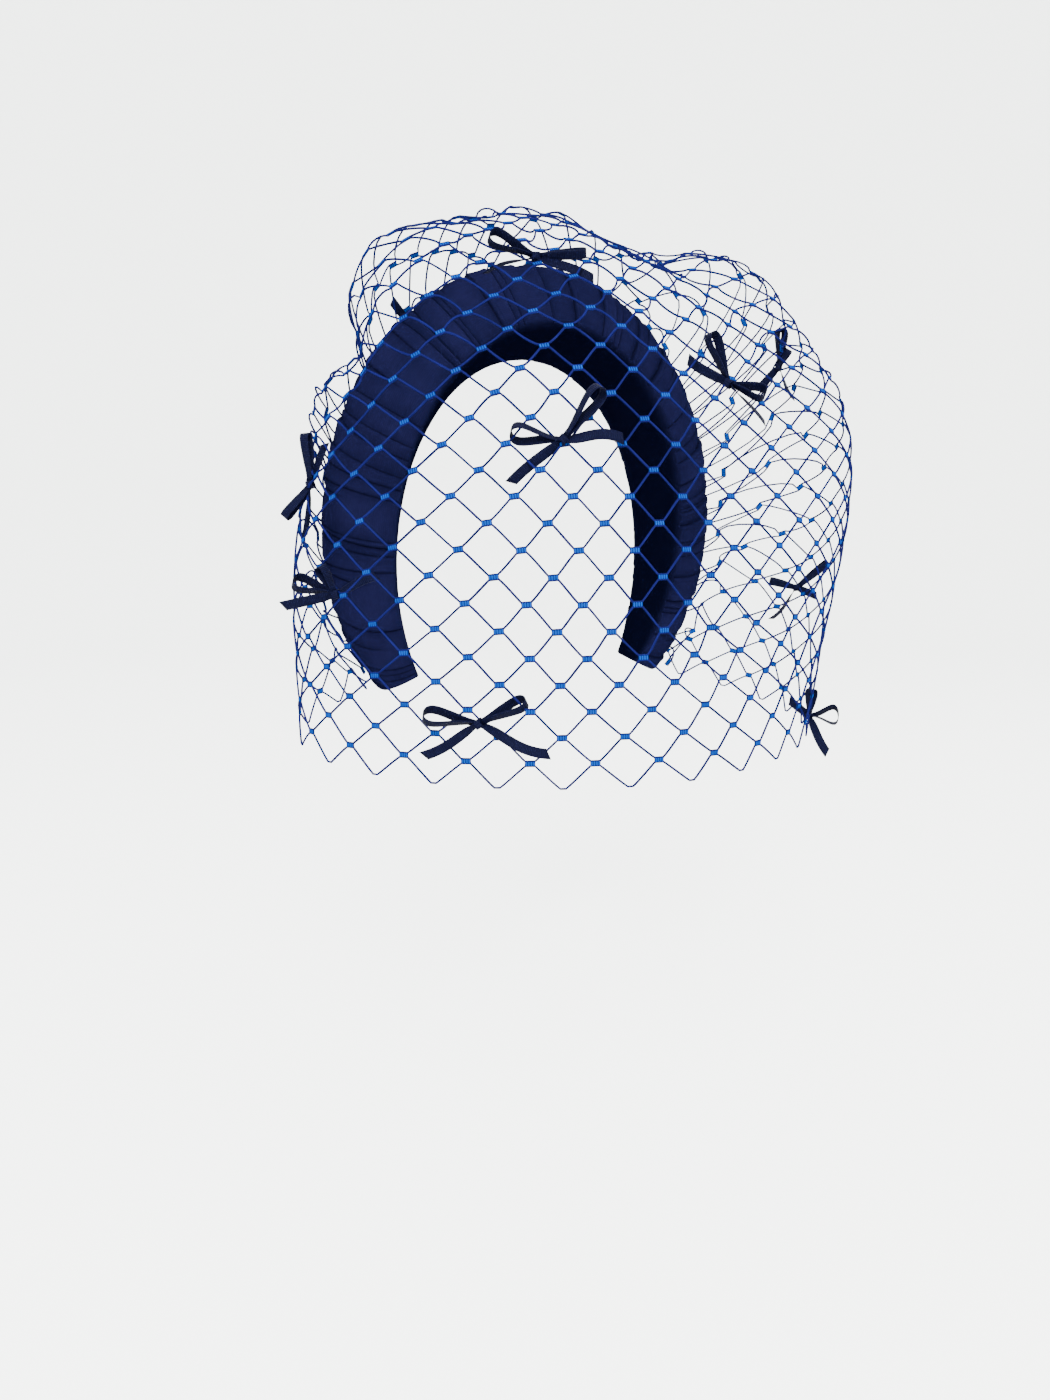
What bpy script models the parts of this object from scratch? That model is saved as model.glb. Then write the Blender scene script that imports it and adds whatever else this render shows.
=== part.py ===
"""A padded halo headband with a gathered diamond-mesh face veil and small ribbon bows.

The wearer faces -Y, the wearer's right side is -X and +Z is up. The origin is the
middle of the band's underside, where the band rests on the crown of the head.
All sizes are in metres and all angles in degrees.
"""
import math

import bmesh
import bpy
from mathutils import Vector

# Padded band
BAND_HALF_WIDTH = 0.0777
BAND_HALF_HEIGHT = 0.1046
BAND_END_ANGLE = 124.0
BAND_TOP_THICKNESS = 0.0360
BAND_END_THICKNESS = 0.0175
BAND_TOP_WIDTH = 0.0390
BAND_END_WIDTH = 0.0215
BAND_RAKE = 6.4
BAND_LEAN = 26.0
BAND_UNDERSIDE_PADDING = 0.12
BAND_SQUARENESS = 0.77
FOLD_DEPTH = 0.0014
FOLD_COUNT = 15.0
BAND_STATIONS = 66
BAND_SECTION_POINTS = 16

# Face veil
HALF_ROW = 0.0208
LAST_COLUMN = 10
STRAND_WIDTH = 0.0016
STRAND_THICKNESS = 0.0012
CLEARANCE = 0.0004
VEIL_AXIS_SETBACK = 0.0015
CREST_FULLNESS = 1.25
PUFF_FORWARD = 0.38
BEHIND_GAP = 0.0125
SMALLEST_OPEN_CELL = 0.00015

# One row for each measured fall of the veil, from the wearer's right end to the left end.
VEIL_COLUMN_NAMES = ("column", "hem_angle", "hem_radius", "hem_height", "band_arc", "puff", "swell")
VEIL_FALLS = (
    (-10, -109.0, 0.088, -0.162, -0.97, 0.006, 0.000),
    (-9, -101.0, 0.103, -0.170, -0.82, 0.009, 0.002),
    (-8, -92.0, 0.121, -0.176, -0.70, 0.011, 0.003),
    (-7, -81.5, 0.132, -0.181, -0.60, 0.012, 0.002),
    (-6, -70.0, 0.134, -0.184, -0.50, 0.014, 0.004),
    (-4, -46.5, 0.134, -0.186, -0.33, 0.022, 0.009),
    (-2, -24.0, 0.132, -0.187, -0.16, 0.025, 0.012),
    (0, 0.0, 0.132, -0.187, 0.00, 0.025, 0.014),
    (2, 24.0, 0.132, -0.186, 0.16, 0.022, 0.018),
    (4, 46.5, 0.133, -0.185, 0.33, 0.062, 0.024),
    (6, 70.0, 0.132, -0.183, 0.50, 0.052, 0.025),
    (7, 81.5, 0.130, -0.181, 0.60, 0.030, 0.022),
    (8, 92.0, 0.120, -0.176, 0.70, 0.016, 0.012),
    (9, 101.0, 0.103, -0.170, 0.82, 0.010, 0.004),
    (10, 109.0, 0.088, -0.162, 0.97, 0.006, 0.000),
)

# Ribbon bows
RIBBON_WIDTH = 0.0030
RIBBON_THICKNESS = 0.0010
BOW_KNOT_RADIUS = 0.0021
LOOP_LENGTH = 0.020
LOOP_WIDTH = 0.0085
TAIL_LENGTH = 0.021
RIBBON_SLANT = 0.55

# One row for each bow: where it is tied on the mesh and the way its loops and tails point.
BOW_COLUMN_NAMES = ("name", "column", "row", "first_loop", "second_loop", "first_tail", "second_tail", "size")
BOWS = (
    ("bow_crown", -1.25, 11.25, 4.0, 170.0, -26.0, 202.0, 1.10),
    ("bow_brow", -1.6875, 6.5625, 50.0, 174.0, 0.0, 222.0, 1.15),
    ("bow_left_temple", 1.0, 7.875, -44.0, 128.0, -70.0, 170.0, 1.05),
    ("bow_left_puff", 5.3125, 10.0, 84.0, 200.0, -112.0, 245.0, 0.85),
    ("bow_right_cheek", -3.25, 1.25, 14.0, 172.0, -32.0, 212.0, 1.15),
    ("bow_right_temple", -6.25, 5.75, 80.0, 235.0, -85.0, 140.0, 1.00),
    ("bow_right_side", -5.5, 3.5, 30.0, 150.0, -20.0, 196.0, 1.00),
    ("bow_left_side", 6.875, 3.125, 15.0, 150.0, -55.0, 205.0, 0.90),
    ("bow_left_hem", 4.375, 0.375, 60.0, 180.0, 20.0, 255.0, 0.90),
    ("bow_back", -3.125, 14.875, 20.0, 165.0, -40.0, 215.0, 0.90),
)

BAND_COLOUR = (0.0098, 0.0150, 0.0480, 1.0)
VEIL_COLOUR = (0.0160, 0.0650, 0.2200, 1.0)
RIBBON_COLOUR = (0.0110, 0.0137, 0.0420, 1.0)


def clear_scene():
    for old in list(bpy.data.objects):
        bpy.data.objects.remove(old, do_unlink=True)


def make_material(name, colour, roughness):
    material = bpy.data.materials.new(name)
    material.use_nodes = True
    shader = material.node_tree.nodes["Principled BSDF"]
    shader.inputs["Base Color"].default_value = colour
    shader.inputs["Roughness"].default_value = roughness
    shader.inputs["Metallic"].default_value = 0.0
    material.diffuse_color = colour
    return material


def add_object(name, bm, material, smooth=True):
    mesh = bpy.data.meshes.new(name)
    bm.to_mesh(mesh)
    bm.free()
    for polygon in mesh.polygons:
        polygon.use_smooth = smooth
    mesh.materials.append(material)
    thing = bpy.data.objects.new(name, mesh)
    bpy.context.scene.collection.objects.link(thing)
    return thing


def signed_power(value, exponent):
    return math.copysign(abs(value) ** exponent, value)


def band_frame(arc):
    """Centre, outward and forward directions, thickness and width of the band at arc -1 to 1."""
    angle = math.radians(BAND_END_ANGLE) * arc
    across = BAND_HALF_WIDTH * math.sin(angle)
    drop = BAND_HALF_HEIGHT * (1.0 - math.cos(angle))
    step_across = BAND_HALF_WIDTH * math.cos(angle)
    step_drop = BAND_HALF_HEIGHT * math.sin(angle)
    step = math.hypot(step_across, step_drop)
    rake = math.radians(BAND_RAKE)
    side = Vector((1.0, 0.0, 0.0))
    down = Vector((0.0, math.sin(rake), -math.cos(rake)))
    forward = Vector((0.0, -math.cos(rake), -math.sin(rake)))
    centre = side * across + down * drop
    outward = side * (step_drop / step) - down * (step_across / step)
    lean = math.radians(BAND_LEAN) * (1.0 - abs(arc) ** 1.5)
    leaning_outward = outward * math.cos(lean) - forward * math.sin(lean)
    leaning_forward = forward * math.cos(lean) + outward * math.sin(lean)
    fullness = 1.0 - abs(arc) ** 3.7
    thickness = BAND_END_THICKNESS + (BAND_TOP_THICKNESS - BAND_END_THICKNESS) * fullness
    spread = 1.0 - abs(arc) ** 5.0
    width = BAND_END_WIDTH + (BAND_TOP_WIDTH - BAND_END_WIDTH) * spread
    return centre, leaning_outward, leaning_forward, thickness, width


def seat_point():
    """The middle of the band's underside before it is moved to the origin."""
    centre, outward, forward, thickness, width = band_frame(0.0)
    return centre - outward * (BAND_UNDERSIDE_PADDING * thickness)


SEAT = seat_point()


def band_point(arc, turn, grow=0.0, sink=0.0):
    """A point on the band's skin: turn 0 is the front edge, 90 the outside, 180 the back edge."""
    centre, outward, forward, thickness, width = band_frame(arc)
    along = math.cos(math.radians(turn))
    out = math.sin(math.radians(turn))
    sideways = 0.5 * signed_power(along, BAND_SQUARENESS) * (width + 2.0 * grow)
    if out >= 0.0:
        height = out * (thickness + grow - sink)
    else:
        height = -BAND_UNDERSIDE_PADDING * thickness * math.sqrt(-out)
    return centre + forward * sideways + outward * height - SEAT


def fold_sink(arc, turn):
    """Depth of the cross folds of the wrapped cloth, always inward from the full skin."""
    slant = 0.35 * math.cos(math.radians(turn))
    main = math.sin(2.0 * math.pi * (FOLD_COUNT * arc + slant))
    second = math.sin(2.0 * math.pi * (0.61 * FOLD_COUNT * arc - 0.8 * slant) + 1.0)
    return FOLD_DEPTH * (1.0 - 0.6 * main - 0.4 * second) * 0.5


def build_band(material):
    bm = bmesh.new()
    rings = []
    for station in range(BAND_STATIONS + 1):
        arc = -1.0 + 2.0 * station / BAND_STATIONS
        ring = []
        for step in range(BAND_SECTION_POINTS):
            turn = 360.0 * step / BAND_SECTION_POINTS
            point = band_point(arc, turn, 0.0, fold_sink(arc, turn))
            ring.append(bm.verts.new(point))
        rings.append(ring)
    for before, after in zip(rings, rings[1:]):
        for step in range(BAND_SECTION_POINTS):
            following = (step + 1) % BAND_SECTION_POINTS
            bm.faces.new((before[step], before[following], after[following], after[step]))
    bm.faces.new(rings[0])
    bm.faces.new(list(reversed(rings[-1])))
    bmesh.ops.recalc_face_normals(bm, faces=bm.faces[:])
    return add_object("padded_band", bm, material)


def fall_value(column, name):
    """Smooth value of one named column of the table of falls."""
    place = VEIL_COLUMN_NAMES.index(name)
    rows = VEIL_FALLS
    start = 0
    while start < len(rows) - 2 and column > rows[start + 1][0]:
        start += 1
    first = rows[start]
    second = rows[start + 1]
    earlier = rows[max(start - 1, 0)]
    later = rows[min(start + 2, len(rows) - 1)]
    span = second[0] - first[0]
    t = (column - first[0]) / span
    leaving = (second[place] - earlier[place]) / (second[0] - earlier[0]) * span
    arriving = (later[place] - first[place]) / (later[0] - first[0]) * span
    return (
        (2 * t ** 3 - 3 * t ** 2 + 1) * first[place]
        + (t ** 3 - 2 * t ** 2 + t) * leaving
        + (3 * t ** 2 - 2 * t ** 3) * second[place]
        + (t ** 3 - t ** 2) * arriving
    )


def fall_guide(column):
    """Guide points of one fall of the veil, from the hem up over the puff to the band."""
    angle = math.radians(fall_value(column, "hem_angle"))
    radius = fall_value(column, "hem_radius")
    arc = fall_value(column, "band_arc")
    puff = fall_value(column, "puff")
    swell = fall_value(column, "swell")
    away = Vector((math.sin(angle), -math.cos(angle), 0.0))
    hem = away * radius
    hem.y += VEIL_AXIS_SETBACK
    hem.z = fall_value(column, "hem_height")
    centre, outward, forward, thickness, width = band_frame(arc)
    upright = (outward + forward * PUFF_FORWARD).normalized()
    crest = band_point(arc, 80.0) + upright * puff
    sewn = band_point(arc, 165.0, CLEARANCE + STRAND_THICKNESS)
    behind = sewn + (crest - sewn) * 0.42 - forward * BEHIND_GAP + outward * 0.003
    guide = []
    steps = 10
    for step in range(steps + 1):
        part = step / steps
        quarter = 0.5 * math.pi * part
        inward = 1.0 - math.cos(quarter) ** CREST_FULLNESS
        point = hem.lerp(crest, inward)
        point.z = hem.z + (crest.z - hem.z) * math.sin(quarter) ** 0.9
        point += away * (swell * math.sin(math.pi * part ** 0.9) ** 1.5)
        guide.append(point)
    guide.append(behind)
    guide.append(sewn)
    return guide


def smooth_line(guide, pieces=6):
    """A curve through the guide points with its running length."""
    ends = [guide[0] * 2 - guide[1]] + guide + [guide[-1] * 2 - guide[-2]]
    points = []
    for index in range(1, len(ends) - 2):
        a, b, c, d = ends[index - 1:index + 3]
        for piece in range(pieces):
            t = piece / pieces
            points.append(0.5 * (2 * b + (c - a) * t + (2 * a - 5 * b + 4 * c - d) * t ** 2
                                 + (3 * b - a - 3 * c + d) * t ** 3))
    points.append(guide[-1])
    lengths = [0.0]
    for before, after in zip(points, points[1:]):
        lengths.append(lengths[-1] + (after - before).length)
    return points, lengths


FALL_LINES = {}


def fall_line(column):
    key = round(column, 5)
    if key not in FALL_LINES:
        FALL_LINES[key] = smooth_line(fall_guide(column))
    return FALL_LINES[key]


def top_row(column):
    """Number of half rows of mesh between the hem and the band on this column."""
    return fall_line(column)[1][-1] / HALF_ROW


def veil_point(column, row):
    points, lengths = fall_line(column)
    rise = min(max(row * HALF_ROW, 0.0), lengths[-1])
    index = 1
    while index < len(lengths) - 1 and lengths[index] < rise:
        index += 1
    part = (rise - lengths[index - 1]) / (lengths[index] - lengths[index - 1])
    return points[index - 1].lerp(points[index], part)


def veil_directions(column, row):
    """Sideways, rising and outward directions of the veil at one place."""
    step = 0.2
    low = max(row - step, 0.0)
    high = min(row + step, top_row(column))
    rising = (veil_point(column, high) - veil_point(column, low)).normalized()
    left = max(column - step, -LAST_COLUMN)
    right = min(column + step, LAST_COLUMN)
    sideways = veil_point(right, row) - veil_point(left, row)
    sideways = (sideways - rising * sideways.dot(rising)).normalized()
    return sideways, rising, sideways.cross(rising)


def inside_veil(place):
    column, row = place
    return abs(column) <= LAST_COLUMN and row <= top_row(column)


def edge_crossing(inner, outer):
    """The place where a strand meets the edge of the veil."""
    for _ in range(30):
        middle = ((inner[0] + outer[0]) * 0.5, (inner[1] + outer[1]) * 0.5)
        if inside_veil(middle):
            inner = middle
        else:
            outer = middle
    return inner


def strand_places(start, end):
    """Places along one strand of the mesh, finer where the veil curls to the band."""
    first, last = sorted((start, end))
    middle = 0.5 * (first[0] + last[0])
    pieces = 2
    if max(first[1], last[1]) > top_row(max(-LAST_COLUMN, min(LAST_COLUMN, middle))) - 3.0:
        pieces = 3
    places = []
    for piece in range(pieces + 1):
        t = piece / pieces
        places.append((first[0] + (last[0] - first[0]) * t, first[1] + (last[1] - first[1]) * t))
    if (start, end) != (first, last):
        places.reverse()
    return places


def rim_measure(place):
    """Running measure along the veil's sewn edge, continued down its two short free ends."""
    column, row = place
    if LAST_COLUMN - abs(column) < 1e-6:
        return math.copysign(LAST_COLUMN + max(0.0, top_row(column) - row), column)
    return column


def rim_place(measure):
    if abs(measure) <= LAST_COLUMN:
        return (measure, top_row(measure))
    column = math.copysign(LAST_COLUMN, measure)
    return (column, top_row(column) - (abs(measure) - LAST_COLUMN))


def rim_between(start, end):
    """Places on the veil's edge strictly between two measures."""
    marks = [index * 0.5 for index in range(-2 * LAST_COLUMN, 2 * LAST_COLUMN + 1)]
    low, high = min(start, end), max(start, end)
    chosen = [mark for mark in marks if low + 1e-4 < mark < high - 1e-4]
    if start > end:
        chosen.reverse()
    return [rim_place(mark) for mark in chosen]


def cell_outline(column, row):
    """Places round one mesh, cut off where it runs past the edge of the veil."""
    corners = [(column, row - 1), (column + 1, row), (column, row + 1), (column - 1, row)]
    walk = []
    for index in range(4):
        walk += strand_places(corners[index], corners[(index + 1) % 4])[:-1]
    flags = [inside_veil(place) for place in walk]
    if all(flags):
        return walk
    if sum(flags) < 2:
        return []
    count = len(walk)
    start = next(index for index in range(count) if flags[index] and not flags[index - 1])
    outline = [edge_crossing(walk[start], walk[start - 1])]
    index = start
    while flags[index % count]:
        outline.append(walk[index % count])
        index += 1
    outline.append(edge_crossing(walk[(index - 1) % count], walk[index % count]))
    outline += rim_between(rim_measure(outline[-1]), rim_measure(outline[0]))
    return outline


def build_veil(material):
    bm = bmesh.new()
    corners = {}

    def corner(place):
        point = veil_point(place[0], place[1])
        key = tuple(round(value, 6) for value in point)
        if key not in corners:
            corners[key] = bm.verts.new(point)
        return corners[key]

    cells = []
    rim = {}
    last_row = int(max(top_row(column) for column in range(-LAST_COLUMN, LAST_COLUMN + 1))) + 2
    for row in range(1, last_row):
        for column in range(-LAST_COLUMN, LAST_COLUMN + 1):
            if (column + row) % 2 == 0:
                continue
            outline = cell_outline(column, row)
            loop = []
            for place in outline:
                vert = corner(place)
                if vert not in loop:
                    loop.append(vert)
                if abs(place[1] - top_row(place[0])) < 1e-4:
                    rim[round(place[0], 6)] = vert
            if len(loop) > 2:
                cells.append(bm.faces.new(loop))
    bm.normal_update()
    open_cells = [cell for cell in cells if cell.calc_area() > SMALLEST_OPEN_CELL]
    bmesh.ops.inset_individual(bm, faces=open_cells, thickness=0.5 * STRAND_WIDTH, use_even_offset=True)
    bmesh.ops.delete(bm, geom=open_cells, context="FACES_ONLY")

    # The gathered heading lies on the back of the band and carries every strand end.
    heading = []
    for measure in sorted(rim):
        arc = fall_value(measure, "band_arc")
        sewn = bm.verts.new(band_point(arc, 179.0, CLEARANCE + STRAND_THICKNESS))
        heading.append((rim[measure], sewn))
    for before, after in zip(heading, heading[1:]):
        bm.faces.new((before[0], after[0], after[1], before[1]))
    loose = [vert for vert in bm.verts if not vert.link_faces]
    bmesh.ops.delete(bm, geom=loose, context="VERTS")
    bmesh.ops.recalc_face_normals(bm, faces=bm.faces[:])
    veil = add_object("veil_net", bm, material)
    solidify = veil.modifiers.new("Thread thickness", "SOLIDIFY")
    solidify.thickness = STRAND_THICKNESS
    solidify.offset = 0.0
    return veil


def loop_path(angle, length, width, steps):
    """Middle line of one ribbon loop, a teardrop that leaves and rejoins the knot."""
    path = []
    for step in range(1, steps):
        t = step / steps
        reach = math.sin(math.pi * t) ** 0.8
        spread = math.sin(2.0 * math.pi * t) * (0.35 + 0.65 * reach)
        path.append(Vector((length * reach, -0.5 * width * spread, 0.0)))
    turned = []
    for point in path:
        turned.append(Vector((
            point.x * math.cos(angle) - point.y * math.sin(angle),
            point.x * math.sin(angle) + point.y * math.cos(angle),
            0.0,
        )))
    return turned


def ribbon_strip(bm, path, start_pair, end_pair, thickness):
    """A strip of faces along a middle line; it may end on a second pair of corners."""
    pair = start_pair
    for index, point in enumerate(path):
        before = path[index - 1] if index > 0 else (start_pair[0].co + start_pair[1].co) * 0.5
        if index + 1 < len(path):
            after = path[index + 1]
        elif end_pair:
            after = (end_pair[0].co + end_pair[1].co) * 0.5
        else:
            after = point + (point - before)
        heading = (after - before).normalized()
        across = Vector((-heading.y, heading.x, 0.0)) * (0.5 * thickness)
        left = bm.verts.new(point + across)
        right = bm.verts.new(point - across)
        bm.faces.new((pair[1], right, left, pair[0]))
        pair = (left, right)
    if end_pair:
        bm.faces.new((pair[1], end_pair[1], end_pair[0], pair[0]))


def bow_outline(first_loop, second_loop, first_tail, second_tail, size):
    """The bow seen from above: a knot with two loops and two tails, as one flat sheet."""
    bm = bmesh.new()
    branches = [
        ("loop", math.radians(first_loop)),
        ("loop", math.radians(second_loop)),
        ("tail", math.radians(first_tail)),
        ("tail", math.radians(second_tail)),
    ]
    full = 2.0 * math.pi
    branches.sort(key=lambda branch: branch[1] % full)
    centres = [angle % full for kind, angle in branches]
    halves = [0.46 if kind == "loop" else 0.20 for kind, angle in branches]
    for _ in range(60):
        for index in range(4):
            other = (index + 1) % 4
            gap = (centres[other] - centres[index]) % full
            need = halves[index] + halves[other] + 0.12
            if gap < need or gap > full - 0.01:
                push = 0.5 * (need - gap)
                centres[index] -= push
                centres[other] += push
    rim = []
    ports = []
    for (kind, angle), centre, half in zip(branches, centres, halves):
        turns = (-half, 0.0, half) if kind == "loop" else (-half, half)
        port = []
        for turn in turns:
            place = Vector((math.cos(centre + turn), math.sin(centre + turn), 0.0))
            vert = bm.verts.new(place * BOW_KNOT_RADIUS)
            rim.append(vert)
            port.append(vert)
        ports.append((kind, angle, port))
    bm.faces.new(rim)
    for kind, angle, port in ports:
        if kind == "loop":
            path = loop_path(angle, LOOP_LENGTH * size, LOOP_WIDTH * size, 8)
            ribbon_strip(bm, path, (port[1], port[0]), (port[1], port[2]), RIBBON_THICKNESS)
        else:
            path = []
            for step in range(1, 4):
                t = step / 3
                bend = angle + 0.18 * math.sin(math.pi * t)
                reach = BOW_KNOT_RADIUS + (TAIL_LENGTH * size - BOW_KNOT_RADIUS) * t
                path.append(Vector((math.cos(bend), math.sin(bend), 0.0)) * reach)
            ribbon_strip(bm, path, (port[1], port[0]), None, RIBBON_THICKNESS)
    return bm


def build_bow(row, material):
    name, column, half_row, first_loop, second_loop, first_tail, second_tail, size = row
    bm = bow_outline(first_loop, second_loop, first_tail, second_tail, size)
    flat = bm.faces[:]
    raised = bmesh.ops.extrude_face_region(bm, geom=flat, use_keep_orig=True)
    lifted = [item for item in raised["geom"] if isinstance(item, bmesh.types.BMVert)]
    bmesh.ops.translate(bm, verts=lifted, vec=(0.0, RIBBON_SLANT * RIBBON_WIDTH, RIBBON_WIDTH))
    sideways, rising, outward = veil_directions(column, half_row)
    lift = 0.5 * STRAND_THICKNESS + CLEARANCE
    seat = veil_point(column, half_row) + outward * lift
    for vert in bm.verts:
        local = vert.co.copy()
        vert.co = seat + sideways * local.x + rising * local.y + outward * local.z
    return add_object(name, bm, material, smooth=False)


def build():
    clear_scene()
    cloth = make_material("navy_band_cloth", BAND_COLOUR, 0.62)
    thread = make_material("blue_veil_thread", VEIL_COLOUR, 0.55)
    ribbon = make_material("navy_ribbon", RIBBON_COLOUR, 0.60)
    headband = bpy.data.objects.new("veiled_headband", None)
    bpy.context.scene.collection.objects.link(headband)
    pieces = [build_band(cloth), build_veil(thread)]
    for row in BOWS:
        pieces.append(build_bow(row, ribbon))
    for piece in pieces:
        piece.parent = headband


build()
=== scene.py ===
"""A padded halo headband in ruched navy cloth with a knotted blue face veil and ribbon bows.

The wearer faces -Y, the wearer's right side is -X and +Z is up. The origin is the
middle of the band's underside. Sizes are in metres and angles in degrees.
"""
from collections import namedtuple
import math
import random

import bmesh
import bpy
import numpy as np
from mathutils import Matrix, Vector, noise


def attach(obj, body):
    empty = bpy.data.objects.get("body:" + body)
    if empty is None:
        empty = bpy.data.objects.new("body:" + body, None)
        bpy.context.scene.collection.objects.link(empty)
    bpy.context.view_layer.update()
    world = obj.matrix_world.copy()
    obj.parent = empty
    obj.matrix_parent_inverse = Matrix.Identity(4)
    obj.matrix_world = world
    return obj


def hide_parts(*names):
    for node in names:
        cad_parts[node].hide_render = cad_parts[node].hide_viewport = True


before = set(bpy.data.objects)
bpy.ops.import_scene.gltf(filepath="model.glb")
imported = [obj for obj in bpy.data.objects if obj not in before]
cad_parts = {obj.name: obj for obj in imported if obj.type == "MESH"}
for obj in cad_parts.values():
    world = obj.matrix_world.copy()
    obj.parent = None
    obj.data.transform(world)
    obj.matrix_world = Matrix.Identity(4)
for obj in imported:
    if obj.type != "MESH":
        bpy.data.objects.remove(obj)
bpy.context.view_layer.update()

# Camera and room
CAMERA_PLACE = (-0.2505, -0.4713, -0.0808)
CAMERA_TILT = 80.1
CAMERA_HEADING = -27.05
CAMERA_LENS = 27.05
FLOOR_HEIGHT = -0.433
ROOM_RADIUS = 4.0
ROOM_COVE = 1.6
ROOM_HEIGHT = 3.2
ROOM_LIGHT = 5.6

# Padded band
BAND_HALF_WIDTH = 0.0777
BAND_HALF_HEIGHT = 0.1046
BAND_END_ANGLE = 124.0
BAND_TOP_THICKNESS = 0.0360
BAND_END_THICKNESS = 0.0175
BAND_TOP_WIDTH = 0.0390
BAND_END_WIDTH = 0.0215
BAND_RAKE = 6.4
BAND_LEAN = 26.0
BAND_UNDERSIDE_PADDING = 0.12
BAND_SQUARENESS = 0.77
BAND_HALF_LENGTH = 0.215
BAND_GIRTH = 0.100
BAND_UNDERSIDE_ROUND = 1.15
BAND_UNDERSIDE_FALL = 0.80
BAND_STATIONS = 1380
BAND_ROUND = 68

# Creases of the wrapped cloth
CREASE_SEED = 23
CREASE_SPACING = (0.0048, 0.0125)
CREASE_DEPTH = (0.0005, 0.0015)
CREASE_SLANT = 0.0125
CREASE_SHARP_SIDE = 0.00040
CREASE_SOFT_SIDE = 0.0026
CREASE_RIDGE = 0.0014
# The dark line along the creases and the gloom beside them are painted shade in the cloth's colour; so is
# UNDERSIDE_SHADE below.
PAINTED_CREASE_LINE = 0.00036
PAINTED_CREASE_GLOOM = 0.30
CREASE_END_FADE = 0.008
CLOTH_RUMPLE = 0.00022
UNDERSIDE_SHADE = 0.9
END_ROUNDING = 0.0016
END_STATIONS = 6

# Face veil
HALF_ROW = 0.0208
LAST_COLUMN = 10
LINES_PER_COLUMN = 8
STRAND_THICKNESS = 0.0012
CLEARANCE = 0.0004
VEIL_AXIS_SETBACK = 0.0015
CREST_FULLNESS = 1.25
PUFF_FORWARD = 0.38
BEHIND_GAP = 0.0125
THREAD_RADIUS = 0.00047
THREAD_PIECES = 6
KNOT_HALF_LENGTH = 0.0019
KNOT_HALF_HEIGHT = 0.00140
KNOT_RAIL = 0.68
FULL_HALF_COLUMN = 0.0105
KNOT_WRAPS = 4
KNOT_WRAP_WIDTH = 0.00130
KNOT_WRAP_DEPTH = 0.00115
THREAD_BOW = 0.0070
THREAD_TURN = 0.10
RUFFLE_DEPTH = 0.0046
RUFFLE_SCALE = 18.0
DRIFTING_PLACES = ((3.1, 7.3, 1.9), (41.7, 12.9, 28.3), (17.5, 53.1, 66.7))
SLACK_DEPTH = 0.0026
SLACK_SCALE = 42.0

# One row for each place where the puffed veil is caught down towards the band, or stands off it.
TACK_COLUMN_NAMES = ("column", "row", "depth", "columns_wide", "rows_high")
TACKS = (
    (-4.7, 10.4, 0.013, 0.55, 1.7),
    (-2.9, 12.6, -0.006, 0.90, 2.0),
    (-6.6, 6.4, 0.006, 0.50, 1.3),
    (1.7, 12.4, 0.004, 0.45, 1.4),
    (2.9, 13.0, -0.006, 1.10, 2.0),
    (4.6, 9.8, 0.010, 1.70, 2.3),
    (-0.6, 14.0, 0.005, 1.80, 2.6),
    (6.2, 9.6, 0.008, 0.60, 1.4),
)

# One row for each measured fall of the veil, from the wearer's right end to the left end.
VEIL_COLUMN_NAMES = ("column", "hem_angle", "hem_radius", "hem_height", "band_arc", "puff", "swell")
VEIL_FALLS = (
    (-10, -109.0, 0.088, -0.162, -0.97, 0.006, 0.000),
    (-9, -101.0, 0.103, -0.170, -0.82, 0.009, 0.002),
    (-8, -92.0, 0.121, -0.176, -0.70, 0.011, 0.003),
    (-7, -81.5, 0.132, -0.181, -0.60, 0.012, 0.002),
    (-6, -70.0, 0.134, -0.184, -0.50, 0.014, 0.004),
    (-4, -46.5, 0.134, -0.186, -0.33, 0.022, 0.009),
    (-2, -24.0, 0.132, -0.187, -0.16, 0.025, 0.012),
    (0, 0.0, 0.132, -0.187, 0.00, 0.025, 0.014),
    (2, 24.0, 0.132, -0.186, 0.16, 0.022, 0.018),
    (4, 46.5, 0.133, -0.185, 0.33, 0.062, 0.024),
    (6, 70.0, 0.132, -0.183, 0.50, 0.052, 0.025),
    (7, 81.5, 0.130, -0.181, 0.60, 0.030, 0.022),
    (8, 92.0, 0.120, -0.176, 0.70, 0.016, 0.012),
    (9, 101.0, 0.103, -0.170, 0.82, 0.010, 0.004),
    (10, 109.0, 0.088, -0.162, 0.97, 0.006, 0.000),
)

# How far the columns of mesh are drawn sideways above the hem: a column and its shift, in columns.
DRIFT_PLACES = ((-10.0, 0.0), (-4.5, 0.20), (-2.8, 0.15), (1.6, -0.92), (3.2, -0.85), (10.0, 0.0))
DRIFT_ROWS = 3.0
DRIFT_FADE_ROWS = 4.0

# Ribbon bows
RIBBON_WIDTH = 0.0041
RIBBON_THICKNESS = 0.00032
LOOP_TWIST = 16.0
BOW_KNOT_LENGTH = 0.0036
BOW_KNOT_HEIGHT = 0.0034
BOW_KNOT_DEPTH = 0.0028

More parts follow.
